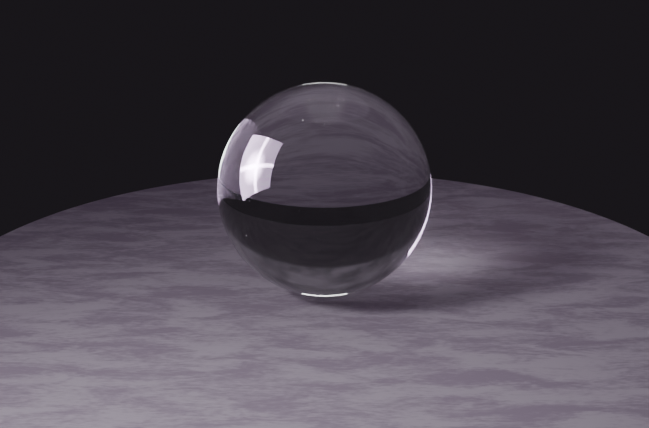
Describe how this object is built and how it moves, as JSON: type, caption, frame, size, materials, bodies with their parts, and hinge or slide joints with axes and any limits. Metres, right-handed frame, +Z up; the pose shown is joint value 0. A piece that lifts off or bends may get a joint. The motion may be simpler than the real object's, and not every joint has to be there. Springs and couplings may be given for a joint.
{
  "type": "crystal ball",
  "caption": "Solid ball of clear, colourless polished glass, for fortune telling and stage magic; it rests on a cloth, in a cup or on a ring stand.",
  "frame": {"origin": "the ball's lowest point, where it touches what it rests on", "axes": "+Z up through the ball's centre; a sphere has no front, so +X and +Y are any level directions"},
  "size_m": [0.1, 0.1, 0.1],
  "materials": {
    "clear_glass": "colourless optical glass, polished to a clear gloss all over"
  },
  "bodies": {
    "root": {"glass_ball": "clear_glass"}
  },
  "joints": []
}
